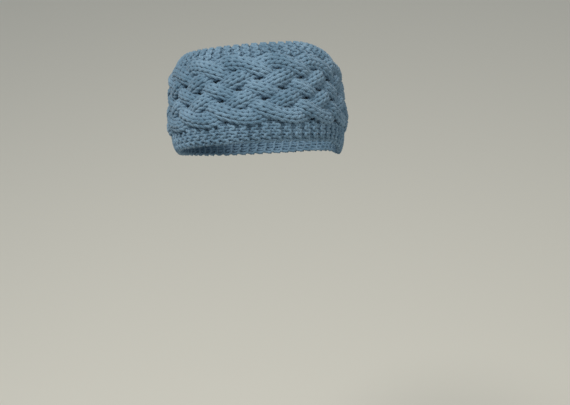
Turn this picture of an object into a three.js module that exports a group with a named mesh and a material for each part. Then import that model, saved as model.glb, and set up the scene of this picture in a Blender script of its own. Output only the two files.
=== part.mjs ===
// A knitted ear warmer headband: a six-strand plait between two garter-stitch edgings.
// Lengths are in mm, Z is up and the front faces -Y.
// The band is a ring of fabric as worn, with its front high on the forehead and its back low.
import * as THREE from "three";

// Sizes of the worn ring, at its inner face
const innerHalfWidth = 71.6;
const innerHalfDepth = 89.5;
const ringSquareness = 2.15;
const wornTiltDegrees = 35;

// Sizes of the fabric
const bandWidth = 82;
const edgingWidth = 13.2;
const edgingThickness = 5.6;
const ridgeDepth = 1.8;
const ridgeScallop = 0.9;
const panelThickness = 2.2;
const strandThickness = 3.3;
const fabricLean = -0.2;
const neighbourGap = 0.3;

// Counts of the knitted pattern
const plaitRepeats = 15;
const ridgesPerRepeat = 4;
const strandCount = 6;

// Straight segments of the panel's wall round the band
const panelSegments = 40;

// Depth that the sags of the two edges are shares of
const edgeSag = 8;

// How far a strand bulges where it turns back at an edging, and the room there, in columns
const turnBulge = 0.1;
const edgeRoom = 0.2;

// Girth of the inner face at places across the band, from the lower edge to the upper one
const girthTable = [
  { across: 0.0, girth: 0.955 },
  { across: 0.06, girth: 0.985 },
  { across: 0.14, girth: 1.0 },
  { across: 0.27, girth: 1.0 },
  { across: 0.4, girth: 0.984 },
  { across: 0.55, girth: 0.967 },
  { across: 0.7, girth: 0.955 },
  { across: 0.8, girth: 0.938 },
  { across: 0.9, girth: 0.9 },
  { across: 1.0, girth: 0.83 },
];

// Sag of the two edges at places around the band, where 0 is the front and 0.25 is over one ear
const sagTable = [
  { around: -0.5, lower: 0.0, upper: 0.0 },
  { around: -0.33, lower: 0.1, upper: 0.0 },
  { around: -0.25, lower: 0.2, upper: 0.0 },
  { around: -0.17, lower: 0.0, upper: 0.0 },
  { around: -0.05, lower: 0.0, upper: 0.25 },
  { around: 0.05, lower: 0.0, upper: 0.1 },
  { around: 0.1, lower: 0.0, upper: -0.1 },
  { around: 0.16, lower: 0.0, upper: 0.1 },
  { around: 0.22, lower: 0.6, upper: 0.3 },
  { around: 0.27, lower: 1.1, upper: 0.2 },
  { around: 0.33, lower: 0.5, upper: 0.0 },
  { around: 0.4, lower: 0.1, upper: 0.0 },
  { around: 0.5, lower: 0.0, upper: 0.0 },
];

// Share of the band's width that the sag of an edge reaches into
const sagReach = 0.4;

// Cross-section of the lower edging, from its free edge towards the panel
const edgingSection = [
  { width: 0.07, thickness: 0.0 },
  { width: 1.0, thickness: 0.0 },
  { width: 1.0, thickness: 0.78 },
  { width: 0.72, thickness: 1.0 },
  { width: 0.22, thickness: 1.0 },
  { width: 0.0, thickness: 0.5 },
];

// Cross-section of a strand, in halves of its width and thickness
const strandSection = [
  { width: -1.0, thickness: 0.0 },
  { width: -0.42, thickness: -1.0 },
  { width: 0.42, thickness: -1.0 },
  { width: 1.0, thickness: 0.0 },
  { width: 0.48, thickness: 1.0 },
  { width: -0.48, thickness: 1.0 },
];

// A strand through one half of a repeat, as it passes over, passes under or turns back: its shift
// to the next column, its width in columns and its lift in crossing heights
const crossingTable = [
  { shift: 0.0, overWidth: 0.93, underWidth: 0.93, turnWidth: 0.93, lift: 0.0, turnLift: 0.0 },
  { shift: 0.19, overWidth: 1.15, underWidth: 1.1, turnWidth: 1.1, lift: 1.0, turnLift: 0.35 },
  { shift: 0.5, overWidth: 1.35, underWidth: 1.7, turnWidth: 1.3, lift: 1.0, turnLift: 0.5 },
  { shift: 0.81, overWidth: 1.15, underWidth: 1.1, turnWidth: 1.1, lift: 1.0, turnLift: 0.35 },
];
const stepsPerHalf = crossingTable.length;

// Sizes that follow from those above
const panelWidth = bandWidth - 2 * edgingWidth - 2 * neighbourGap;
const columnWidth = panelWidth / (strandCount + 2 * edgeRoom);
const liftHeight = (strandThickness + neighbourGap) / 2;
const plaitMiddle = panelThickness + neighbourGap + strandThickness / 2 + liftHeight;
const halfRepeats = 2 * plaitRepeats;
const meanRadius = (innerHalfWidth + innerHalfDepth) / 2;

// Reads a table smoothly between its rows, for the column that is asked for
function readTable(table, key, column, at) {
  let i = 0;
  while (i < table.length - 2 && at > table[i + 1][key]) i += 1;
  const slopeAt = (k) => {
    const before = table[Math.max(k - 1, 0)];
    const after = table[Math.min(k + 1, table.length - 1)];
    return (after[column] - before[column]) / (after[key] - before[key]);
  };
  const start = table[i];
  const end = table[i + 1];
  const span = end[key] - start[key];
  const t = Math.min(Math.max((at - start[key]) / span, 0), 1);
  const rise = t * t * (3 - 2 * t);
  const leave = t * (1 - t) * (1 - t) * span * slopeAt(i);
  const arrive = t * t * (t - 1) * span * slopeAt(i + 1);
  return start[column] * (1 - rise) + end[column] * rise + leave + arrive;
}

// A point of the inner ring at an angle from the front, before the girth is applied
function ringAt(angle) {
  const across = Math.sin(angle);
  const along = Math.cos(angle);
  const sum = Math.abs(across) ** ringSquareness + Math.abs(along) ** ringSquareness;
  const reach = sum ** (-1 / ringSquareness);
  return new THREE.Vector2(innerHalfWidth * reach * across, -innerHalfDepth * reach * along);
}

// Lengths along the ring, so that equal shares of the way round are equal lengths of fabric
const ringSamples = 720;
const ringLengths = [0];
for (let i = 1; i <= ringSamples; i += 1) {
  const before = ringAt((2 * Math.PI * (i - 1)) / ringSamples - Math.PI);
  const here = ringAt((2 * Math.PI * i) / ringSamples - Math.PI);
  ringLengths.push(ringLengths[i - 1] + here.distanceTo(before));
}
const ringLength = ringLengths[ringSamples];

// The ring's point at a share of the way round, from -0.5 at the back over 0 at the front to 0.5
function ringShare(around) {
  const share = around + 0.5 - Math.floor(around + 0.5);
  const wanted = share * ringLength;
  let low = 0;
  let high = ringSamples;
  while (high - low > 1) {
    const middle = (low + high) >> 1;
    if (ringLengths[middle] <= wanted) low = middle;
    else high = middle;
  }
  const part = (wanted - ringLengths[low]) / (ringLengths[high] - ringLengths[low]);
  return ringAt((2 * Math.PI * (low + part)) / ringSamples - Math.PI);
}

// Heights of the fabric: its width is kept, so where the girth changes it rises less
const heightSamples = 200;
const heightTable = [0];
for (let i = 1; i <= heightSamples; i += 1) {
  const girthStep =
    readTable(girthTable, "across", "girth", i / heightSamples) -
    readTable(girthTable, "across", "girth", (i - 1) / heightSamples);
  const run = meanRadius * girthStep;
  const length = bandWidth / heightSamples;
  heightTable.push(heightTable[i - 1] + Math.sqrt(Math.max(length * length - run * run, 0)));
}
const bandHeight = heightTable[heightSamples];

// The height of the fabric at a share of its width, about the middle of the band
function heightAt(across) {
  const place = Math.min(Math.max(across, 0), 1) * heightSamples;
  const i = Math.min(Math.floor(place), heightSamples - 1);
  const rise = heightTable[i] + (heightTable[i + 1] - heightTable[i]) * (place - i);
  return rise + (across * heightSamples - place) * (bandWidth / heightSamples) - bandHeight / 2;
}

// A point of the inner face
function innerFace(around, across) {
  const leaned = around + (fabricLean * (across - 0.5) * bandWidth) / ringLength;
  const wrapped = leaned + 0.5 - Math.floor(leaned + 0.5) - 0.5;
  const ring = ringShare(leaned);
  const girth = readTable(girthTable, "across", "girth", across);
  const nearLower = Math.max(1 - across / sagReach, 0) ** 2;
  const nearUpper = Math.max(1 - (1 - across) / sagReach, 0) ** 2;
  const lower = nearLower * readTable(sagTable, "around", "lower", wrapped);
  const upper = nearUpper * readTable(sagTable, "around", "upper", wrapped);
  const sag = edgeSag * (lower + upper);
  return new THREE.Vector3(ring.x * girth, ring.y * girth, heightAt(across) - sag);
}

// A point out from the inner face, along the fabric's normal
function fabricPoint(around, across, out) {
  const step = 0.002;
  const origin = innerFace(around, across);
  const along = innerFace(around + step, across).sub(innerFace(around - step, across));
  const over = innerFace(around, across + step).sub(innerFace(around, across - step));
  return origin.addScaledVector(along.cross(over).normalize(), out);
}

// A closed surface through a row of sections, joined end to end in a ring or capped
function sweptGeometry(sections, closed) {
  const count = sections.length;
  const size = sections[0].length;
  const points = sections.flat();
  const faces = [];
  const spans = closed ? count : count - 1;
  for (let i = 0; i < spans; i += 1) {
    const next = (i + 1) % count;
    for (let j = 0; j < size; j += 1) {
      const k = (j + 1) % size;
      const a = i * size + j;
      const b = next * size + j;
      const c = next * size + k;
      const d = i * size + k;
      faces.push(a, c, b, a, d, c);
    }
  }
  if (!closed) {
    const last = (count - 1) * size;
    for (let j = 1; j < size - 1; j += 1) {
      faces.push(0, j + 1, j);
      faces.push(last, last + j, last + j + 1);
    }
  }
  const geometry = new THREE.BufferGeometry().setFromPoints(points);
  geometry.setIndex(faces);
  geometry.computeVertexNormals();
  return geometry;
}

// One garter-stitch edging; the upper one is the lower one turned over in the fabric
function edgingGeometry(upper) {
  const samples = 2 * ridgesPerRepeat * plaitRepeats;
  const sections = [];
  for (let i = 0; i < samples; i += 1) {
    const around = i / samples - 0.5;
    const ridge = i % 2;
    const thickness = edgingThickness - (1 - ridge) * ridgeDepth;
    const section = edgingSection.map((row) => {
      const free = ridge * ridgeScallop * (1 - row.width);
      const width = (row.width * edgingWidth - free) / bandWidth;
      const across = upper ? 1 - width : width;
      return fabricPoint(around, across, row.thickness * thickness);
    });
    sections.push(upper ? section.reverse() : section);
  }
  return sweptGeometry(sections, true);
}

// The inner wall of the centre panel, which the strands stand on
function panelGeometry() {
  const start = (edgingWidth + neighbourGap) / bandWidth;
  const places = [start, 0.5, 1 - start];
  const sections = [];
  for (let i = 0; i < panelSegments; i += 1) {
    const around = i / panelSegments - 0.5;
    const inner = places.map((across) => fabricPoint(around, across, 0));
    const outer = places.map((across) => fabricPoint(around, across, panelThickness));
    sections.push([...inner, ...outer.reverse()]);
  }
  return sweptGeometry(sections, true);
}

// Where a strand is in a half of a repeat, after a step of the crossing table: its column and how it passes
function strandPlace(strand, half, step) {
  const lap = 2 * strandCount;
  const start = strand % 2 ? strand : lap - 1 - strand;
  const place = (start + half) % lap;
  const turn = strandCount - 1;
  const shift = crossingTable[step].shift;
  const bulge = turnBulge * Math.sin((Math.PI * step) / stepsPerHalf);
  if (place < turn) return { column: place + shift, passes: place % 2 ? "under" : "over" };
  if (place === turn) return { column: turn + bulge, passes: "turn" };
  if (place < lap - 1) return { column: lap - 1 - place - shift, passes: place % 2 ? "over" : "under" };
  return { column: -bulge, passes: "turn" };
}

// One strand of the plait, from the seam at the back round to the seam again
function strandGeometry(strand) {
  const total = halfRepeats * stepsPerHalf;
  const seam = neighbourGap / 2 / ringLength;
  const middle = (strandCount - 1) / 2;
  const sections = [];
  for (let i = 0; i <= total; i += 1) {
    const around = Math.min(Math.max(i / total - 0.5, seam - 0.5), 0.5 - seam);
    const step = i % stepsPerHalf;
    const place = strandPlace(strand, Math.floor(i / stepsPerHalf), step);
    const row = crossingTable[step];
    const centre = 0.5 + ((middle - place.column) * columnWidth) / bandWidth;
    const halfWidth = (row[`${place.passes}Width`] * columnWidth) / 2 / bandWidth;
    const lifts = { over: row.lift, under: -row.lift, turn: row.turnLift };
    const height = plaitMiddle + lifts[place.passes] * liftHeight;
    const section = strandSection.map((point) =>
      fabricPoint(
        around,
        centre + point.width * halfWidth,
        height + (point.thickness * strandThickness) / 2,
      ),
    );
    sections.push(section);
  }
  return sweptGeometry(sections, false);
}

// Assembly
const band = new THREE.Group();
band.name = "ear_warmer_headband";

function addPiece(name, geometry, colour) {
  const material = new THREE.MeshStandardMaterial({ color: colour, roughness: 0.9 });
  const mesh = new THREE.Mesh(geometry, material);
  mesh.name = name;
  band.add(mesh);
}

addPiece("bottom_edging", edgingGeometry(false), 0x4d6f8f);
addPiece("top_edging", edgingGeometry(true), 0x4d6f8f);
addPiece("panel", panelGeometry(), 0x3d5a75);
for (let strand = 0; strand < strandCount; strand += 1) {
  addPiece(`plait_strand_${strand + 1}`, strandGeometry(strand), 0x6488a8);
}
band.rotation.x = -THREE.MathUtils.degToRad(wornTiltDegrees);

export default band;
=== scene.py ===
"""A knitted ear warmer headband, as worn: every stitch is a loop of plied yarn, swept along its course."""

import math

import bpy
import numpy as np
from mathutils import Matrix, Vector


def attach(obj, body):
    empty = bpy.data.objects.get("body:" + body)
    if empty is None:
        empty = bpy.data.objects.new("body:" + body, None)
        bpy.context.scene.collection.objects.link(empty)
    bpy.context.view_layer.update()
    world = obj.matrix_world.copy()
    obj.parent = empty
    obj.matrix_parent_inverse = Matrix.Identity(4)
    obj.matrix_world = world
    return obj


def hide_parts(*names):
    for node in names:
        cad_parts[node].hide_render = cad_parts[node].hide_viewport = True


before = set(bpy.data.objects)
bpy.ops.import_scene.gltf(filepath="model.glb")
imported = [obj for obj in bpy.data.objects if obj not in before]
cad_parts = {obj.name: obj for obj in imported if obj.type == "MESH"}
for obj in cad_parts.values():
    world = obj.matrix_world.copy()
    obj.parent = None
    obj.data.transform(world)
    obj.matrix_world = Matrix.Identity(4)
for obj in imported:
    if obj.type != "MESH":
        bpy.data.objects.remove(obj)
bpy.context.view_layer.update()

# Sizes of the worn ring and its fabric in mm, the same as in the solids
MM = 0.001
INNER_HALF_WIDTH = 71.6
INNER_HALF_DEPTH = 89.5
RING_SQUARENESS = 2.15
WORN_TILT = math.radians(35)
BAND_WIDTH = 82.0
EDGING_WIDTH = 13.2
EDGING_THICKNESS = 5.6
PANEL_THICKNESS = 2.2
STRAND_THICKNESS = 3.3
FABRIC_LEAN = -0.2
GAP = 0.3
EDGE_SAG = 8.0
EDGE_ROOM = 0.2
TURN_BULGE = 0.1

# Counts of the knitted pattern
REPEATS = 15
HALVES = 2 * REPEATS
ROWS_PER_HALF = 4
ROWS = HALVES * ROWS_PER_HALF
STRANDS = 6

# Halves of a repeat in which a strand goes down and up the panel and is back in its place
LAP = 2 * STRANDS
WALES_PER_STRAND = 2
EDGING_STITCHES = 3

# Sizes that follow
PANEL_WIDTH = BAND_WIDTH - 2 * EDGING_WIDTH - 2 * GAP
COLUMN_WIDTH = PANEL_WIDTH / (STRANDS + 2 * EDGE_ROOM)
EDGING_SHARE = EDGING_WIDTH / BAND_WIDTH
LIFT_HEIGHT = (STRAND_THICKNESS + GAP) / 2
PLAIT_MIDDLE = PANEL_THICKNESS + GAP + STRAND_THICKNESS / 2 + LIFT_HEIGHT

# Girth of the inner face, by share of the band's width from the lower edge
GIRTH = np.array(
    [
        (0.0, 0.955),
        (0.06, 0.985),
        (0.14, 1.0),
        (0.27, 1.0),
        (0.4, 0.984),
        (0.55, 0.967),
        (0.7, 0.955),
        (0.8, 0.938),
        (0.9, 0.9),
        (1.0, 0.83),
    ]
)

# Sag of the lower and the upper edge, by share of the way round from the back over the front
SAG = np.array(
    [
        (-0.5, 0.0, 0.0),
        (-0.33, 0.1, 0.0),
        (-0.25, 0.2, 0.0),
        (-0.17, 0.0, 0.0),
        (-0.05, 0.0, 0.25),
        (0.05, 0.0, 0.1),
        (0.1, 0.0, -0.1),
        (0.16, 0.0, 0.1),
        (0.22, 0.6, 0.3),
        (0.27, 1.1, 0.2),
        (0.33, 0.5, 0.0),
        (0.4, 0.1, 0.0),
        (0.5, 0.0, 0.0),
    ]
)


def read_table(table, at, column=1):
    """A column of the table at these places of its first, smoothly between the rows."""
    keys, values = table[:, 0], table[:, column]
    last = len(keys) - 1
    i = np.clip(np.searchsorted(keys, at) - 1, 0, last - 1)
    span = keys[i + 1] - keys[i]
    t = np.clip((at - keys[i]) / span, 0, 1)

    def slope(k):
        low, high = np.maximum(k - 1, 0), np.minimum(k + 1, last)
        return (values[high] - values[low]) / (keys[high] - keys[low])

    rise = t * t * (3 - 2 * t)
    leave = t * (1 - t) ** 2 * span * slope(i)
    arrive = t * t * (t - 1) * span * slope(i + 1)
    return values[i] * (1 - rise) + values[i + 1] * rise + leave + arrive


def ring_at(angle):
    """The inner ring at these angles from the front."""
    across, along = np.sin(angle), np.cos(angle)
    reach = (np.abs(across) ** RING_SQUARENESS + np.abs(along) ** RING_SQUARENESS) ** (-1 / RING_SQUARENESS)
    return np.stack([INNER_HALF_WIDTH * reach * across, -INNER_HALF_DEPTH * reach * along], -1)


RING_ANGLES = np.linspace(-np.pi, np.pi, 1441)
RING_LENGTHS = np.concatenate([[0], np.cumsum(np.linalg.norm(np.diff(ring_at(RING_ANGLES), axis=0), axis=1))])
RING_LENGTH = RING_LENGTHS[-1]

# The fabric keeps its width, so where the girth changes it rises less
WIDTH_STEPS = 400
WIDTH_SHARES = np.linspace(0, 1, WIDTH_STEPS + 1)
MEAN_RADIUS = (INNER_HALF_WIDTH + INNER_HALF_DEPTH) / 2
RUNS = MEAN_RADIUS * np.diff(read_table(GIRTH, WIDTH_SHARES))
RISES = np.sqrt((BAND_WIDTH / WIDTH_STEPS) ** 2 - RUNS**2)
HEIGHTS = np.concatenate([[0], np.cumsum(RISES)])

# Share of the band's width over which the sag of an edge fades out
SAG_REACH = 0.4


def inner_face(around, across):
    """Points of the band's inner face in mm, in the frame of its own ring."""
    leaned = around + FABRIC_LEAN * (across - 0.5) * BAND_WIDTH / RING_LENGTH
    share = leaned + 0.5 - np.floor(leaned + 0.5)
    ring = ring_at(np.interp(share * RING_LENGTH, RING_LENGTHS, RING_ANGLES))
    girth = read_table(GIRTH, across)[..., None]
    beyond = (across - np.clip(across, 0, 1)) * BAND_WIDTH
    lower = np.maximum(1 - across / SAG_REACH, 0) ** 2 * read_table(SAG, share - 0.5, 1)
    upper = np.maximum(1 - (1 - across) / SAG_REACH, 0) ** 2 * read_table(SAG, share - 0.5, 2)
    sag = EDGE_SAG * (lower + upper)
    height = np.interp(across, WIDTH_SHARES, HEIGHTS) + beyond - HEIGHTS[-1] / 2 - sag
    return np.concatenate([ring * girth, height[..., None]], -1)


def fabric_point(around, across, out):
    """Points out from the inner face, in metres in the row frame."""
    step = 0.002
    along = inner_face(around + step, across) - inner_face(around - step, across)
    over = inner_face(around, across + step) - inner_face(around, across - step)
    normal = np.cross(along, over)
    normal /= np.linalg.norm(normal, axis=-1, keepdims=True)
    x, y, z = np.moveaxis(inner_face(around, across) + normal * out[..., None], -1, 0)
    c, s = math.cos(WORN_TILT), math.sin(WORN_TILT)
    return np.stack([x, y * c + z * s, z * c - y * s], -1) * MM


# Strands of the plait: how gently they bend and dive, and how far in columns the stretch over the top is
# longer
SMOOTHING = np.linspace(-0.25, 0.25, 7)
LIFTING = np.linspace(-0.2, 0.2, 9)
OVER_STRETCH = 0.07

# Widths of a strand in mm, and how far in mm its edges fall away from its middle, at its mean level and by
# lift
OVER_WIDTH, UNDER_WIDTH, TURN_WIDTH, CROSSING_WIDTH = 11.7, 13.5, 11.4, 11.1
CROWN, CROWN_BY_LIFT = 2.2, 0.8

# How far out in mm the yarn of a strand runs from the middle of the solid
STRAND_RISE = 0.2

# Length round the band's outer face to that round its inner face
OUTER_GIRTH = 1.07

# Rows of a strand in each half of a repeat: the ones that pass over are stretched, so fewer fit in
OVER_ROWS, UNDER_ROWS, TURN_ROWS = 3.3, 4.85, 3.6
DOWN_ROWS = [OVER_ROWS, UNDER_ROWS] * (STRANDS // 2)
UP_ROWS = [UNDER_ROWS, OVER_ROWS] * (STRANDS // 2)
DOWN_ROWS[-1] = UP_ROWS[-1] = TURN_ROWS
ROWS_BEFORE = np.concatenate([[0], np.cumsum(DOWN_ROWS + UP_ROWS)])
LAP_ROWS = ROWS_BEFORE[-1]
ROW_SMOOTHING = np.linspace(-0.6, 0.6, 7)


def rows_at(t):
    """The rows that a strand has had, t halves of a repeat into its lap."""
    return np.interp(np.mod(t, LAP), np.arange(LAP + 1), ROWS_BEFORE) + np.floor(t / LAP) * LAP_ROWS


def halves_at(rows):
    """The halves of a repeat that a strand has had at these rows of its lap."""
    shifted = [rows + d for d in ROW_SMOOTHING]
    halves = np.arange(LAP + 1)
    within = [np.interp(np.mod(r, LAP_ROWS), ROWS_BEFORE, halves) for r in shifted]
    whole = [np.floor(r / LAP_ROWS) * LAP for r in shifted]
    return np.mean([part + laps for part, laps in zip(within, whole)], axis=0)


def strand_column(t):
    """The column of a strand, t halves of a repeat into its lap down and up the panel."""
    t = np.mod(t, LAP)
    turn = STRANDS - 1
    bulge = TURN_BULGE * np.sin(np.pi * t)
    column = np.where(t < turn, t, turn - bulge)
    column = np.where(t >= STRANDS, LAP - 1 - t, column)
    column = np.where(t >= LAP - 1, bulge, column)
    return column + OVER_STRETCH * np.cos(np.pi * t)


def strand_passes(t):
    """1 where a strand passes over, -1 where it passes under, and 0.5 where it turns back."""
    t = np.mod(t, LAP)
    even = np.where(np.floor(t) % 2 == 0, 1.0, -1.0)
    passes = np.where(t < STRANDS, even, -even)
    return np.where((np.floor(t) == STRANDS - 1) | (np.floor(t) == LAP - 1), 0.5, passes)


def strand_frame(t):
    """Column, slope, lift and width in mm of a strand at t."""
    column = np.mean([strand_column(t + d) for d in SMOOTHING], axis=0)
    step = 0.1
    before = np.mean([strand_column(t - step + d) for d in SMOOTHING], axis=0)
    after = np.mean([strand_column(t + step + d) for d in SMOOTHING], axis=0)
    rise = -(after - before) * COLUMN_WIDTH
    slope = np.arctan2(rise, 2 * step * RING_LENGTH * OUTER_GIRTH / HALVES)
    lift = np.mean([strand_passes(t + d) for d in LIFTING], axis=0)
    swell = np.sin(np.pi * t) ** 2
    passes = strand_passes(t)
    widest = np.where(passes > 0.9, OVER_WIDTH, np.where(passes < 0, UNDER_WIDTH, TURN_WIDTH))
    width = CROSSING_WIDTH + (widest - CROSSING_WIDTH) * swell
    return column, slope, lift, width


# A loop of yarn: points along it, how far in stitches its legs lean, how far in rows it reaches to each
# side, and how far in mm its legs stand out
STRAND_LOOP = (20, 0.22, 0.78, 0.52)
EDGING_LOOP = (20, 0.15, 0.76, 0.2)
PANEL_LOOP = (10, 0.14, 0.7, 0.3)


def course(stitches, samples, lean, reach, depth):
    """One course of knit loops: its turn, and its places across in stitches, along in rows and out in mm."""
    turn = np.linspace(-np.pi, (2 * stitches - 1) * np.pi, round(stitches * samples) + 1)
    across = (turn + np.pi) / (2 * np.pi) + lean * np.sin(2 * turn)
    return turn, across, reach * np.cos(turn), -depth * np.cos(2 * turn)


# How much the courses wander: on a strand in rows, in shares of its width and in mm out, on an edging in
# rows and in mm across, and on the panel in rows
STRAND_WANDER = (0.035, 0.008, 0.06)
EDGING_WANDER = (0.05, 0.1)
PANEL_WANDER = 0.05


def unevenness(random, rows, count, amount):
    """A slow wander for each course, so that no two rows of stitches are the same."""
    place = np.linspace(0, 1, count)
    phase = random.uniform(0, 2 * np.pi, (rows, 3, 1))
    size = random.normal(0, amount, (rows, 3, 1))
    waves = [size[:, k] * np.sin(2 * np.pi * (k + 1) * place + phase[:, k]) for k in range(3)]
    return sum(waves)


def strand_start(strand):
    """Where in its lap a strand is at the back, in halves of a repeat."""
    return strand if strand % 2 else LAP - 1 - strand


def strand_point(strand, halves, share, out):
    """Points on a strand: halves of a repeat from the back, a share of its width from its middle, and out."""
    column, slope, lift, width = strand_frame(strand_start(strand) + halves)
    from_middle = share * width
    crown = (CROWN + CROWN_BY_LIFT * lift) * (2 * share) ** 2
    around = halves / HALVES - 0.5 - from_middle * np.sin(slope) / RING_LENGTH
    middle = (STRANDS - 1) / 2
    place = 0.5 + ((middle - column) * COLUMN_WIDTH + from_middle * np.cos(slope)) / BAND_WIDTH
    return fabric_point(around, place, PLAIT_MIDDLE + lift * LIFT_HEIGHT - crown + out)


def strand_courses(strand, random):
    """The yarn of one strand: a course of two loops for each of its rows."""
    turn, across, along, out = course(WALES_PER_STRAND, *STRAND_LOOP)
    start = strand_start(strand)
    first, last = rows_at(start), rows_at(start + HALVES)
    total = round(last - first)
    row = np.arange(total)[:, None] + 0.5
    count = len(turn)
    wander, waver, bob = [unevenness(random, total, count, amount) for amount in STRAND_WANDER]
    rows = first + (row + along + wander) * (last - first) / total
    halves = halves_at(rows) - start
    share = across / WALES_PER_STRAND - 0.5 + waver
    return strand_point(strand, halves, share, out + STRAND_RISE + bob)


def panel_courses(random):
    """The wrong side of the panel: the same rows, as they show on the inside."""
    wales = STRANDS * WALES_PER_STRAND
    turn, across, along, out = course(wales, *PANEL_LOOP)
    row = np.arange(ROWS)[:, None] + 0.5
    count = len(turn)
    rows = row + along + unevenness(random, ROWS, count, PANEL_WANDER)
    start = EDGING_WIDTH + GAP
    place = (start + across / wales * PANEL_WIDTH) / BAND_WIDTH + 0 * rows
    return fabric_point(rows / ROWS - 0.5, place, PANEL_THICKNESS / 2 + out + 0 * rows)


# How far in rows the two rows of a garter ridge are pulled together, and how far in mm it stands out:
# more along the top, where the fabric is stretched less
RIDGE_PULL = {False: 0.15, True: 0.2}
RIDGE_RELIEF = {False: 1.65, True: 1.85}

# Stitches in a course of an edging, with the part of one that dives under the plait
COURSE_STITCHES = EDGING_STITCHES + 0.5

# In mm: how far in a course starts, how far its first loop hangs out over that, how much lower the ridges
# are at the rim and under the plait, and how deep they dive there
RIM_INSET, RIM_OVERHANG = 0.5, 0.9
RIM_FLATNESS, DIVE_FLATNESS, DIVE_DEPTH = 0.6, 0.8, 0.7


def edging_courses(upper, random):
    """A garter-stitch edging: knit and purl rows in turn, so that every second row stands as a ridge."""
    turn, across, along, out = course(COURSE_STITCHES, *EDGING_LOOP)
    row = np.arange(ROWS)[:, None] + 0.5
    purl = np.where(np.arange(ROWS) % 2 == 0, 1.0, -1.0)[:, None]
    count = len(turn)
    wander, waver = [unevenness(random, ROWS, count, amount) for amount in EDGING_WANDER]
    rows = row + along + RIDGE_PULL[upper] * purl + wander
    inwards = across / EDGING_STITCHES * EDGING_WIDTH + RIM_INSET + waver
    inwards = inwards - RIM_OVERHANG * np.exp(-((across / 0.35) ** 2))
    rim = np.exp(-((across / 0.6) ** 2))
    dive = np.clip((across - EDGING_STITCHES + 0.1) * 2, 0, 1)
    relief = RIDGE_RELIEF[upper] - RIM_FLATNESS * rim - DIVE_FLATNESS * dive
    height = EDGING_THICKNESS / 2 + purl * relief * np.cos(turn) + out - DIVE_DEPTH * dive
    place = inwards / BAND_WIDTH
    return fabric_point(rows / ROWS - 0.5, 1 - place if upper else place, height)


# Materials
def linear(hex_colour):
    """An sRGB hex colour as the linear colour that a shader takes."""
    parts = [int(hex_colour[i : i + 2], 16) / 255 for i in (1, 3, 5)]
    return [p / 12.92 if p <= 0.04045 else ((p + 0.055) / 1.055) ** 2.4 for p in parts] + [1.0]


def add_node(tree, kind, settings=None, **links):
    """A node with its settings, and its inputs set to values or linked to sockets."""
    node = tree.nodes.new(kind)
    for name, value in (settings or {}).items():
        setattr(node, name, value)
    for name, value in links.items():
        key = int(name[1:]) if name[0] == "_" and name[1:].isdigit() else name.replace("_", " ")
        socket = node.inputs[key]
        if isinstance(value, bpy.types.NodeSocket):
            tree.links.new(value, socket)
        else:
            socket.default_value = value
    return node


# Plies of the yarn, the length in metres in which a ply comes round to the next one's place, and the colour
# of the fibres that catch the light
PLIES = 4
PLY_PITCH = 0.0016
FIBRE_COLOUR = "#C9D6E2"


def yarn_material(name, light, dark, sheen):
    """Soft plied yarn: a mottled dye, painted shade in the grooves between plies, and fibres that catch
    light.
    """
    material = bpy.data.materials.new(name)
    material.use_nodes = True
    tree = material.node_tree
    shader = tree.nodes["Principled BSDF"]
    along = add_node(tree, "ShaderNodeAttribute", {"attribute_name": "along"}).outputs["Fac"]
    rim = add_node(tree, "ShaderNodeAttribute", {"attribute_name": "rim"}).outputs["Vector"]
    parts = add_node(tree, "ShaderNodeSeparateXYZ", Vector=rim)
    angle = add_node(
        tree, "ShaderNodeMath", {"operation": "ARCTAN2"}, _0=parts.outputs["Y"], _1=parts.outputs["X"]
    ).outputs[0]
    plies = add_node(tree, "ShaderNodeMath", {"operation": "MULTIPLY"}, _0=angle, _1=PLIES).outputs[0]
    twist = add_node(
        tree, "ShaderNodeMath", {"operation": "MULTIPLY_ADD"}, _0=along, _1=2 * math.pi / PLY_PITCH, _2=plies
    ).outputs[0]
    wave = add_node(tree, "ShaderNodeMath", {"operation": "SINE"}, _0=twist).outputs[0]
    # Painted shade: the colour is darkened in the grooves between the plies, where shade falls, on top of
    # their bump
    painted_groove_shade = add_node(tree, "ShaderNodeMapRange", Value=wave, From_Min=-1.0, From_Max=0.2, To_Min=0.35)
    place = add_node(tree, "ShaderNodeTexCoord").outputs["Object"]
    mottle = add_node(tree, "ShaderNodeTexNoise", Vector=place, Scale=260.0, Detail=3.0).outputs["Fac"]
    patches = add_node(tree, "ShaderNodeTexNoise", Vector=place, Scale=45.0, Detail=2.0).outputs["Fac"]
    mixed = add_node(tree, "ShaderNodeMath", {"operation": "MULTIPLY_ADD"}, _0=mottle, _1=0.6, _2=patches)
    tone = add_node(tree, "ShaderNodeMapRange", Value=mixed.outputs[0], From_Min=0.55, From_Max=1.05)
    # The mix factor: random dye tone times the painted groove shade, from the dark colour to the light one
    shade = add_node(
        tree, "ShaderNodeMath", {"operation": "MULTIPLY"}, _0=tone.outputs[0], _1=painted_groove_shade.outputs[0]
    ).outputs[0]
    colour = add_node(tree, "ShaderNodeMix", {"data_type": "RGBA"}, Factor=shade)
    colour.inputs[6].default_value = linear(dark)
    colour.inputs[7].default_value = linear(light)
    tree.links.new(colour.outputs[2], shader.inputs["Base Color"])
    fibres = add_node(tree, "ShaderNodeTexNoise", Vector=place, Scale=2600.0, Detail=2.0).outputs["Fac"]
    ply_bump = add_node(tree, "ShaderNodeBump", Height=wave, Strength=0.35, Distance=0.00025)
    bump = add_node(
        tree, "ShaderNodeBump", Height=fibres, Strength=0.5, Distance=0.0003, Normal=ply_bump.outputs[0]
    )
    tree.links.new(bump.outputs[0], shader.inputs["Normal"])
    shader.inputs["Roughness"].default_value = 0.92
    shader.inputs["Specular IOR Level"].default_value = 0.2
    shader.inputs["Sheen Weight"].default_value = sheen
    shader.inputs["Sheen Roughness"].default_value = 0.45
    shader.inputs["Sheen Tint"].default_value = linear(FIBRE_COLOUR)
    return material


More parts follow.
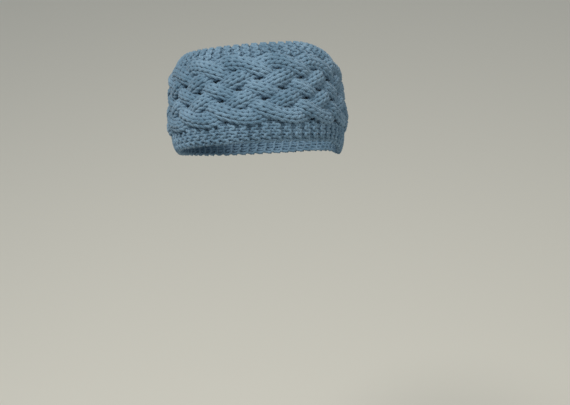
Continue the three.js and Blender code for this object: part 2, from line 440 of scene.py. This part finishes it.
def plain_material(name, colour, roughness):
    """One even dull colour, where only shade or light gives form."""
    material = bpy.data.materials.new(name)
    material.use_nodes = True
    shader = material.node_tree.nodes["Principled BSDF"]
    shader.inputs["Base Color"].default_value = linear(colour)
    shader.inputs["Roughness"].default_value = roughness
    return material


# The yarn of the outside: a mid denim blue with a dull, soft edge
denim_yarn = yarn_material("denim_blue_yarn", "#7D9CB3", "#537288", 0.4)
# The same yarn in painted shade: darker colours stand for less light on it, on the ground of the panel
painted_shade_inside_yarn = yarn_material("denim_blue_yarn_inside_painted_shade", "#708DA3", "#486579", 0.3)
# What shows deep between the loops: the same blue painted dark, as painted shade
painted_shadow_yarn = plain_material("yarn_painted_in_shadow", "#4B6679", 1.0)
# A matt pale floor
floor_paint = plain_material("pale_floor", "#DADBD2", 0.8)


# The sweep that turns courses into yarn
def yarn_tree():
    """Geometry Nodes that sweep a round yarn along each course, and keep where each point is on it."""
    tree = bpy.data.node_groups.new("yarn_sweep", "GeometryNodeTree")
    sockets = tree.interface
    sockets.new_socket("Courses", in_out="INPUT", socket_type="NodeSocketGeometry")
    sockets.new_socket("Yarn radius", in_out="INPUT", socket_type="NodeSocketFloat")
    sockets.new_socket("Sides", in_out="INPUT", socket_type="NodeSocketInt")
    sockets.new_socket("Material", in_out="INPUT", socket_type="NodeSocketMaterial")
    sockets.new_socket("Yarn", in_out="OUTPUT", socket_type="NodeSocketGeometry")
    given = tree.nodes.new("NodeGroupInput").outputs
    curve = add_node(tree, "GeometryNodeMeshToCurve", Mesh=given["Courses"]).outputs[0]
    plump = add_node(tree, "GeometryNodeInputNamedAttribute", {"data_type": "FLOAT"}, Name="plump").outputs[0]
    curve = add_node(tree, "GeometryNodeSetCurveRadius", Curve=curve, Radius=plump).outputs[0]
    length = add_node(tree, "GeometryNodeSplineParameter").outputs["Length"]
    store = {"data_type": "FLOAT", "domain": "POINT"}
    marked = add_node(
        tree, "GeometryNodeStoreNamedAttribute", store, Geometry=curve, Name="along", Value=length
    ).outputs[0]
    circle = add_node(
        tree, "GeometryNodeCurvePrimitiveCircle", Resolution=given["Sides"], Radius=given["Yarn radius"]
    ).outputs[0]
    position = add_node(tree, "GeometryNodeInputPosition").outputs[0]
    store = {"data_type": "FLOAT_VECTOR", "domain": "POINT"}
    profile = add_node(
        tree, "GeometryNodeStoreNamedAttribute", store, Geometry=circle, Name="rim", Value=position
    ).outputs[0]
    swept = add_node(tree, "GeometryNodeCurveToMesh", Curve=marked, Profile_Curve=profile, Fill_Caps=True)
    smooth = add_node(tree, "GeometryNodeSetShadeSmooth", Geometry=swept.outputs[0]).outputs[0]
    real = add_node(tree, "GeometryNodeRealizeInstances", Geometry=smooth).outputs[0]
    painted = add_node(tree, "GeometryNodeSetMaterial", Geometry=real, Material=given["Material"]).outputs[0]
    result = tree.nodes.new("NodeGroupOutput")
    tree.links.new(painted, result.inputs[0])
    return tree


YARN_TREE = yarn_tree()

# How much plumper the yarn is in the legs of a stitch than where it is squeezed between them
PLUMP_LEGS = 0.1


def new_object(name, mesh):
    """An object with this data, at the origin of the scene."""
    piece = bpy.data.objects.new(name, mesh)
    bpy.context.scene.collection.objects.link(piece)
    return piece


def knitted_piece(name, courses, radius, sides, material, stitches):
    """One mesh of yarn along these courses, each an open line of points across some stitches."""
    rows, count = courses.shape[:2]
    turn = np.linspace(-np.pi, (2 * stitches - 1) * np.pi, count)
    plumpness = 1 - PLUMP_LEGS * np.cos(2 * turn)
    start = np.arange(rows)[:, None] * count + np.arange(count - 1)
    edges = np.stack([start, start + 1], -1).reshape(-1, 2)
    lines = bpy.data.meshes.new(name + "_courses")
    lines.vertices.add(rows * count)
    lines.vertices.foreach_set("co", courses.reshape(-1).astype(np.float32))
    lines.edges.add(len(edges))
    lines.edges.foreach_set("vertices", edges.reshape(-1).astype(np.int32))
    plump = lines.attributes.new("plump", "FLOAT", "POINT")
    plump.data.foreach_set("value", np.tile(plumpness, rows).astype(np.float32))
    lines.update()
    guide = new_object(name + "_guide", lines)
    modifier = guide.modifiers.new("yarn", "NODES")
    modifier.node_group = YARN_TREE
    values = {"Yarn radius": radius * MM, "Sides": sides, "Material": material}
    for item in YARN_TREE.interface.items_tree:
        if item.in_out == "INPUT" and item.name in values:
            modifier[item.identifier] = values[item.name]
    seen = guide.evaluated_get(bpy.context.evaluated_depsgraph_get())
    mesh = bpy.data.meshes.new_from_object(seen)
    mesh.name = name
    guide.modifiers.clear()
    bpy.data.objects.remove(guide)
    bpy.data.meshes.remove(lines)
    return new_object(name, mesh)


def skin(name, rings, closed, material):
    """A mesh over rings of points, from one ring to the next, which ends in caps if it isn't closed."""
    count, size = rings.shape[:2]
    i, j = np.meshgrid(np.arange(count if closed else count - 1), np.arange(size), indexing="ij")
    after, beside = (i + 1) % count, (j + 1) % size
    corners = [i * size + j, i * size + beside, after * size + beside, after * size + j]
    faces = np.stack(corners, -1).reshape(-1, 4).tolist()
    if not closed:
        faces += [list(range(size))[::-1], list(range((count - 1) * size, count * size))]
    mesh = bpy.data.meshes.new(name)
    mesh.from_pydata(rings.reshape(-1, 3).tolist(), [], faces)
    mesh.materials.append(material)
    mesh.shade_smooth()
    return new_object(name, mesh)


def ring_wall(name, across, middle, thickness, fold, samples, material):
    """A closed wall of fabric behind the stitches, by how far out it is across the band and how folded."""
    around = (np.arange(samples) / samples - 0.5)[:, None]
    loop = np.concatenate([across, across[::-1]])
    out = np.concatenate([middle - thickness / 2, middle[::-1] + thickness / 2])
    folded = out - np.concatenate([fold, fold[::-1]]) * np.cos(np.pi * (around + 0.5) * ROWS)
    return skin(name, fabric_point(around + 0 * loop, loop + 0 * around, folded), True, material)


# The wall inside a strand: half its width as a share of the strand's, how far out in mm its back and front
# are, how far in halves of a repeat it ends from the next strand, and its points along and across
WALL_SHARE = 0.44
WALL_BACK, WALL_FRONT = -0.9, 0.0
END_GAP = 0.01
WALL_SAMPLES, WALL_STEPS = 8 * HALVES, 7


def strand_wall(name, strand, material):
    """The inside of a strand, which fills it behind the loops of its yarn."""
    halves = np.linspace(END_GAP, HALVES - END_GAP, WALL_SAMPLES)[:, None]
    share = np.linspace(-WALL_SHARE, WALL_SHARE, WALL_STEPS)
    loop = np.concatenate([share, share[::-1]])
    out = np.concatenate([np.full(WALL_STEPS, WALL_BACK), np.full(WALL_STEPS, WALL_FRONT)])
    points = strand_point(strand, halves + 0 * loop, loop + 0 * halves, out + 0 * halves)
    return skin(name, points, False, material)


def unit(vectors):
    """These vectors at length one."""
    return vectors / np.linalg.norm(vectors, axis=-1, keepdims=True)


def fuzz(name, courses, radius, count, random, material):
    """Loose fibres that stand out of the yarn along these courses, each a thin needle of three sides."""
    rows, points = courses.shape[:2]
    row, at = random.integers(0, rows, count), random.uniform(0, points - 1.001, count)
    near = courses[row, at.astype(int)]
    tangent = courses[row, at.astype(int) + 1] - near
    root = near + tangent * (at % 1)[:, None]
    tangent = unit(tangent)
    away = random.normal(size=(count, 3))
    away = unit(away - np.sum(away * tangent, -1, keepdims=True) * tangent)
    root = root + away * radius * MM * FIBRE_ROOT
    pointing = unit(away * FIBRE_RISE + tangent * random.uniform(-1, 1, (count, 1)))
    tip = root + pointing * random.uniform(*FIBRE_LENGTH, (count, 1)) * MM
    beside = unit(np.cross(pointing, tangent + 0.1 * away))
    above = np.cross(pointing, beside)
    corners = np.arange(3) * 2 * np.pi / 3
    ring = np.cos(corners)[:, None] * beside[:, None] + np.sin(corners)[:, None] * above[:, None]
    ring *= FIBRE_THICKNESS / 2 * MM
    needles = np.concatenate([root[:, None] + ring, tip[:, None]], 1)
    faces = np.array([(0, 2, 1), (0, 1, 3), (1, 2, 3), (2, 0, 3)])
    every = (np.arange(count)[:, None, None] * needles.shape[1] + faces).reshape(-1, 3)
    mesh = bpy.data.meshes.new(name)
    mesh.from_pydata(needles.reshape(-1, 3).tolist(), [], every.tolist())
    mesh.materials.append(material)
    mesh.update()
    return new_object(name, mesh)


def join(main, other):
    """Joins other into main."""
    with bpy.context.temp_override(active_object=main, selected_editable_objects=[main, other]):
        bpy.ops.object.join()
    return main


# Radius of the yarn in mm in each fabric: it is squeezed flat in the panel's wrong side
STRAND_YARN, EDGING_YARN, PANEL_YARN = 1.48, 1.3, 0.8

# Sides of the swept yarn, and of the yarn in the panel
YARN_SIDES, PANEL_YARN_SIDES = 7, 4

# Fibres that stand out of the yarn, in mm, how far out in it they start as a share of its radius, how steeply
# they rise, and how many there are on an edging and on a strand
FIBRE_LENGTH = (0.9, 2.2)
FIBRE_THICKNESS = 0.08
FIBRE_ROOT, FIBRE_RISE = 0.85, 0.7
EDGING_FIBRES = 4500
STRAND_FIBRES = 3300

# The pieces
random = np.random.default_rng(7)

# Thickness in mm of the wall inside an edging and of the panel's ground, how far the ground ends from the
# edgings as a share of the band's width, and points along the ground
CORE_THICKNESS, GROUND_THICKNESS = 0.4, 0.3
GROUND_GAP = 0.003
GROUND_SAMPLES = 240

# The wall inside an edging, by share of the band's width from the rim: how far out and how folded, in mm
EDGING_WALL = np.array(
    [
        (0.006, 2.8, 0.6),
        (0.04, 2.8, 1.4),
        (0.08, 2.8, 1.4),
        (0.12, 2.8, 1.4),
        (0.15, 2.6, 1.0),
        (0.163, 2.0, 0.5),
        (0.18, 1.4, 0.0),
    ]
)
for upper, node in ((False, "bottom_edging"), (True, "top_edging")):
    courses = edging_courses(upper, random)
    piece = knitted_piece(f"{node}_stitches", courses, EDGING_YARN, YARN_SIDES, denim_yarn, COURSE_STITCHES)
    across, middle, fold = EDGING_WALL.T
    across = 1 - across if upper else across
    order = slice(None, None, -1) if upper else slice(None)
    shape = (across[order], middle[order], CORE_THICKNESS, fold[order])
    # The edging's core is coloured as painted shade, dark behind the loops
    join(piece, ring_wall(f"{node}_core", *shape, 4 * ROWS, painted_shadow_yarn))
    join(piece, fuzz(f"{node}_fuzz", courses, EDGING_YARN, EDGING_FIBRES, random, denim_yarn))
    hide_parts(node)
    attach(piece, "root")

courses, wales = panel_courses(random), STRANDS * WALES_PER_STRAND
stitches = knitted_piece("panel_stitches", courses, PANEL_YARN, PANEL_YARN_SIDES, painted_shade_inside_yarn, wales)
border = EDGING_SHARE + GROUND_GAP
across = np.linspace(border, 1 - border, 10)
unfolded = np.zeros(len(across))
shape = (across, unfolded + PANEL_THICKNESS / 2, GROUND_THICKNESS, unfolded)
ground = ring_wall("panel_ground", *shape, GROUND_SAMPLES, painted_shade_inside_yarn)
for piece in (stitches, ground):
    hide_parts("panel")
    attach(piece, "root")

for strand in range(STRANDS):
    courses = strand_courses(strand, random)
    node = f"plait_strand_{strand + 1}"
    piece = knitted_piece(f"{node}_stitches", courses, STRAND_YARN, YARN_SIDES, denim_yarn, WALES_PER_STRAND)
    # The strand's core is coloured as painted shade, dark behind its loops
    join(piece, strand_wall(f"{node}_core", strand, painted_shadow_yarn))
    join(piece, fuzz(f"{node}_fuzz", courses, STRAND_YARN, STRAND_FIBRES, random, denim_yarn))
    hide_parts(node)
    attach(piece, "root")

# Floor, far below the band as it is held up, and half its side, in metres
FLOOR_DEPTH, FLOOR_REACH = 0.8, 4.0
floor_mesh = bpy.data.meshes.new("floor")
sides = ((-1, -1), (1, -1), (1, 1), (-1, 1))
corners = [(x * FLOOR_REACH, y * FLOOR_REACH, -FLOOR_DEPTH) for x, y in sides]
floor_mesh.from_pydata(corners, [], [(0, 1, 2, 3)])
floor_mesh.materials.append(floor_paint)
floor = new_object("floor", floor_mesh)

# Camera at the photograph's angle: its pitch, turn and roll, and the pixel where the band's centre falls
FOCAL_PIXELS = 950.0
FRAME_WIDTH, FRAME_HEIGHT = 570.0, 405.0
BAND_PIXEL = (256.9, 103.0)
CAMERA_DISTANCE = 0.86
PITCH, TURN, ROLL = math.radians(35), math.radians(2), math.radians(4.16)
forward = Vector((-math.sin(TURN) * math.cos(PITCH), math.cos(TURN) * math.cos(PITCH), -math.sin(PITCH)))
level = Vector((math.cos(TURN), math.sin(TURN), 0))
above = level.cross(forward)
right = level * math.cos(ROLL) - above * math.sin(ROLL)
up = level * math.sin(ROLL) + above * math.cos(ROLL)
ray = forward + right * (BAND_PIXEL[0] - FRAME_WIDTH / 2) / FOCAL_PIXELS
ray -= up * (BAND_PIXEL[1] - FRAME_HEIGHT / 2) / FOCAL_PIXELS
ray.normalize()
camera_data = bpy.data.cameras.new("camera")
camera_data.sensor_width = 36
camera_data.lens = 36 * FOCAL_PIXELS / FRAME_WIDTH
camera = new_object("camera", camera_data)
turned = Matrix((right, up, -forward)).transposed().to_4x4()
camera.matrix_world = Matrix.Translation(-CAMERA_DISTANCE * ray) @ turned
bpy.context.scene.camera = camera


def area_light(name, place, size, power, colour):
    """A large soft light that looks at the band."""
    data = bpy.data.lights.new(name, "AREA")
    data.shape = "DISK"
    data.size = size
    data.energy = power
    data.color = linear(colour)[:3]
    light = new_object(name, data)
    light.location = place
    light.rotation_mode = "QUATERNION"
    light.rotation_quaternion = (-Vector(place)).to_track_quat("-Z", "Y")


area_light("key", (-0.5, -0.4, 1.65), 0.7, 30, "#FFF8F0")
area_light("fill", (1.4, -0.9, 0.9), 1.4, 8.5, "#FFF4E6")
world = bpy.data.worlds.new("studio")
world.use_nodes = True
world.node_tree.nodes["Background"].inputs["Color"].default_value = linear("#EEF0F2")
world.node_tree.nodes["Background"].inputs["Strength"].default_value = 0.4
bpy.context.scene.world = world
bpy.context.scene.view_settings.view_transform = "Standard"
